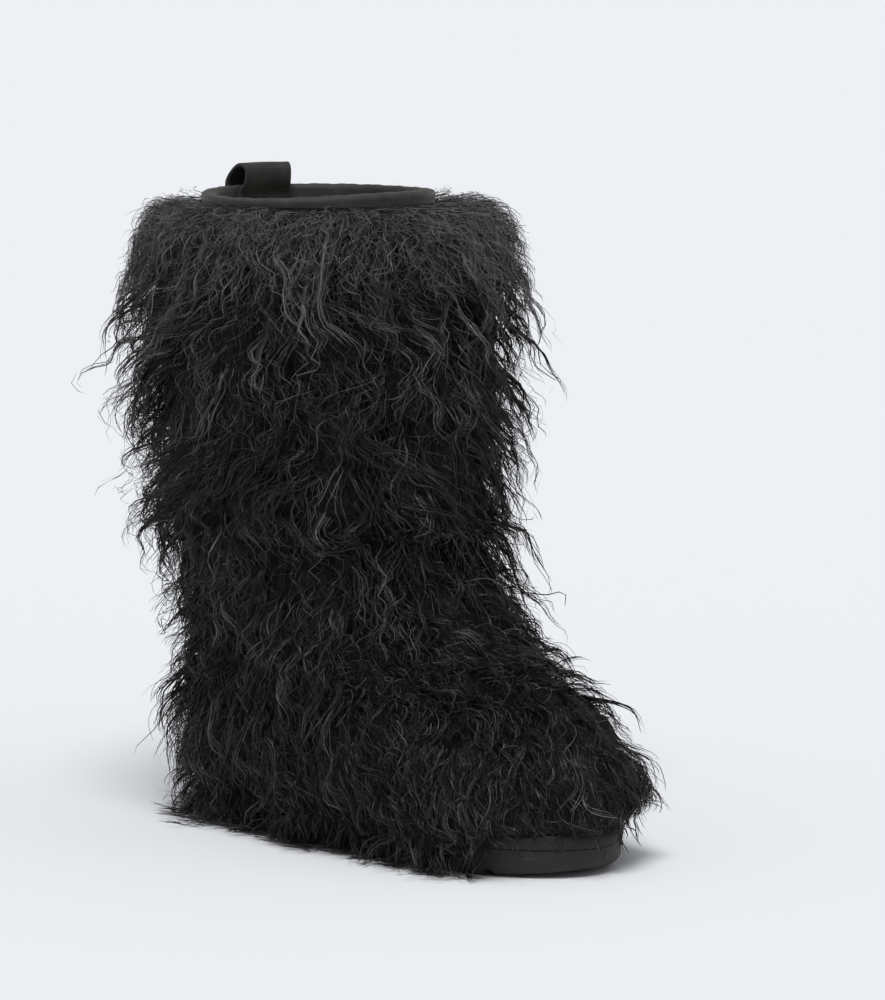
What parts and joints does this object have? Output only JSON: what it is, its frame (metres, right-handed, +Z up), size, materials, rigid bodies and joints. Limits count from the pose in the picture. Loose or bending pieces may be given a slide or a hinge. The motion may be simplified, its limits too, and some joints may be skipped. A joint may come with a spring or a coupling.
{
  "type": "mukluk boot",
  "caption": "Tall pull-on boot covered in long curly black fur, with a suede-bound collar, a pull loop and a flat rubber sole.",
  "frame": {"origin": "on the floor plane, at the middle of the heel's tread", "axes": "+X towards the toe, +Y towards the inner side of the foot, +Z up"},
  "size_m": [0.3495, 0.2156, 0.3503],
  "materials": {
    "outsole_rubber": "matte",
    "midsole_foam": "matte",
    "fleece": "woolly pile",
    "hide": "suede side",
    "suede": "napped suede",
    "fur": "long curly fur with a soft sheen"
  },
  "bodies": {
    "root": {"outsole": "outsole_rubber", "midsole": "midsole_foam", "insole": "fleece", "upper": "hide", "collar_binding": "suede", "pull_loop": "suede", "fur": "fur"}
  },
  "joints": []
}
